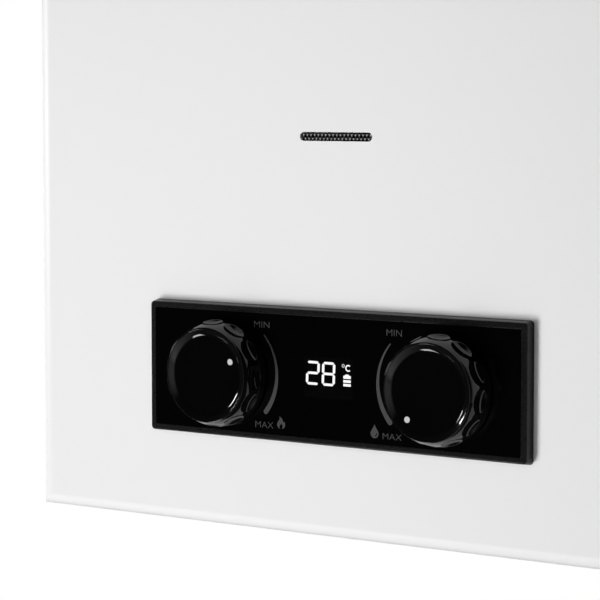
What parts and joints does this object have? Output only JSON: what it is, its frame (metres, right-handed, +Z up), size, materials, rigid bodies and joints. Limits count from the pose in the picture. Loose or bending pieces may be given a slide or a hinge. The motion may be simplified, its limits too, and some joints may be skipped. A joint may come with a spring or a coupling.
{
  "type": "gas water heater",
  "caption": "Wall-hung gas water heater with a white steel case, black panel with scalloped knobs and display, capped flue, folding handle and threaded water and gas connections below.",
  "frame": {"origin": "midway between the entry circles of the two upper keyholes, on the plane of the wall", "axes": "+Z up, +Y into the wall, +X to the right as seen from the front"},
  "size_m": [0.3036, 0.134, 0.429],
  "materials": {
    "white_enamel": "satin white enamel",
    "zinc_sheet": "zinc-coated sheet",
    "steel": "plated",
    "dark_mesh": "matt black",
    "grip_rubber": "soft matt",
    "panel_plastic": "fine satin",
    "fascia_gloss": "polished",
    "display_dark": "dark",
    "knob_plastic": "satin",
    "knob_gloss": "polished",
    "brass": "machined",
    "die_cast": "die cast",
    "coil_red": "moulded",
    "ceramic": "glazed ceramic",
    "window_glass": "clear",
    "copper": "copper, tinned inside",
    "diaphragm_rubber": "matt",
    "cell_wrap": "printed-film sleeve, plain"
  },
  "bodies": {
    "housing": {"front_cover": "white_enamel", "back_plate": "zinc_sheet", "bottom_plate": "zinc_sheet", "cover_screws": "steel", "rain_cap": "white_enamel", "exhaust_grille": "dark_mesh", "flue_hood": "zinc_sheet", "handle_brackets": "steel", "handle_pins": "steel", "flame_mesh": "dark_mesh", "panel_bezel": "panel_plastic", "fascia": "fascia_gloss", "display_module": "display_dark", "gas_inlet": "brass", "gas_valve_body": "die_cast", "gas_solenoid": "coil_red", "gas_manifold": "die_cast", "gas_nozzles": "brass", "burner_frame": "zinc_sheet", "burner_bars": "steel", "electrode_insulators": "ceramic", "ignition_pin": "steel", "flame_sensor_pin": "steel", "chamber_window": "window_glass", "exchanger_shell": "copper", "exchanger_fins": "copper", "exchanger_tubes": "copper", "overheat_thermostat": "panel_plastic", "cold_inlet": "brass", "inlet_filter": "steel", "water_valve_body": "brass", "diaphragm": "diaphragm_rubber", "diaphragm_cover": "die_cast", "diaphragm_screws": "steel", "relief_valve": "brass", "switch_bracket": "zinc_sheet", "microswitch": "panel_plastic", "cold_pipe": "copper", "hot_pipe": "copper", "pipe_nuts": "brass", "hot_outlet": "brass", "outlet_sensor": "panel_plastic", "igniter_box": "panel_plastic", "battery_box": "panel_plastic", "battery_cells": "cell_wrap", "battery_contacts": "steel"},
    "gas_knob": {"gas_knob": "knob_plastic", "gas_knob_cap": "knob_gloss", "gas_spindle": "steel"},
    "water_knob": {"water_knob": "knob_plastic", "water_knob_cap": "knob_gloss", "water_spindle": "steel"},
    "handle": {"carry_handle": "steel", "handle_grip": "grip_rubber"},
    "lid": {"battery_lid": "panel_plastic", "lid_contact": "steel"},
    "push_rod": {"push_rod": "steel"}
  },
  "joints": [
    {"name": "gas_knob_turn", "type": "hinge", "parent": "housing", "child": "gas_knob", "pos_m": [-0.0505, -0.118, -0.298], "axis": [0, -1, 0], "range_deg": [-83.5, 26.5]},
    {"name": "water_knob_turn", "type": "hinge", "parent": "housing", "child": "water_knob", "pos_m": [0.0505, -0.118, -0.298], "axis": [0, -1, 0], "range_deg": [-106, 4]},
    {"name": "handle_swing", "type": "hinge", "parent": "housing", "child": "handle", "pos_m": [0, -0.018, 0.0493], "axis": [-1, 0, 0], "range_deg": [0, 90]},
    {"name": "battery_lid_swing", "type": "hinge", "parent": "housing", "child": "lid", "pos_m": [-0.091, -0.0075, -0.3415], "axis": [1, 0, 0], "range_deg": [0, 90]},
    {"name": "push_rod_slide", "type": "slide", "parent": "housing", "child": "push_rod", "axis": [-1, 0, 0], "range_m": [0, 0.004], "stiffness_N_per_m": 300, "springref_m": -0.005}
  ]
}
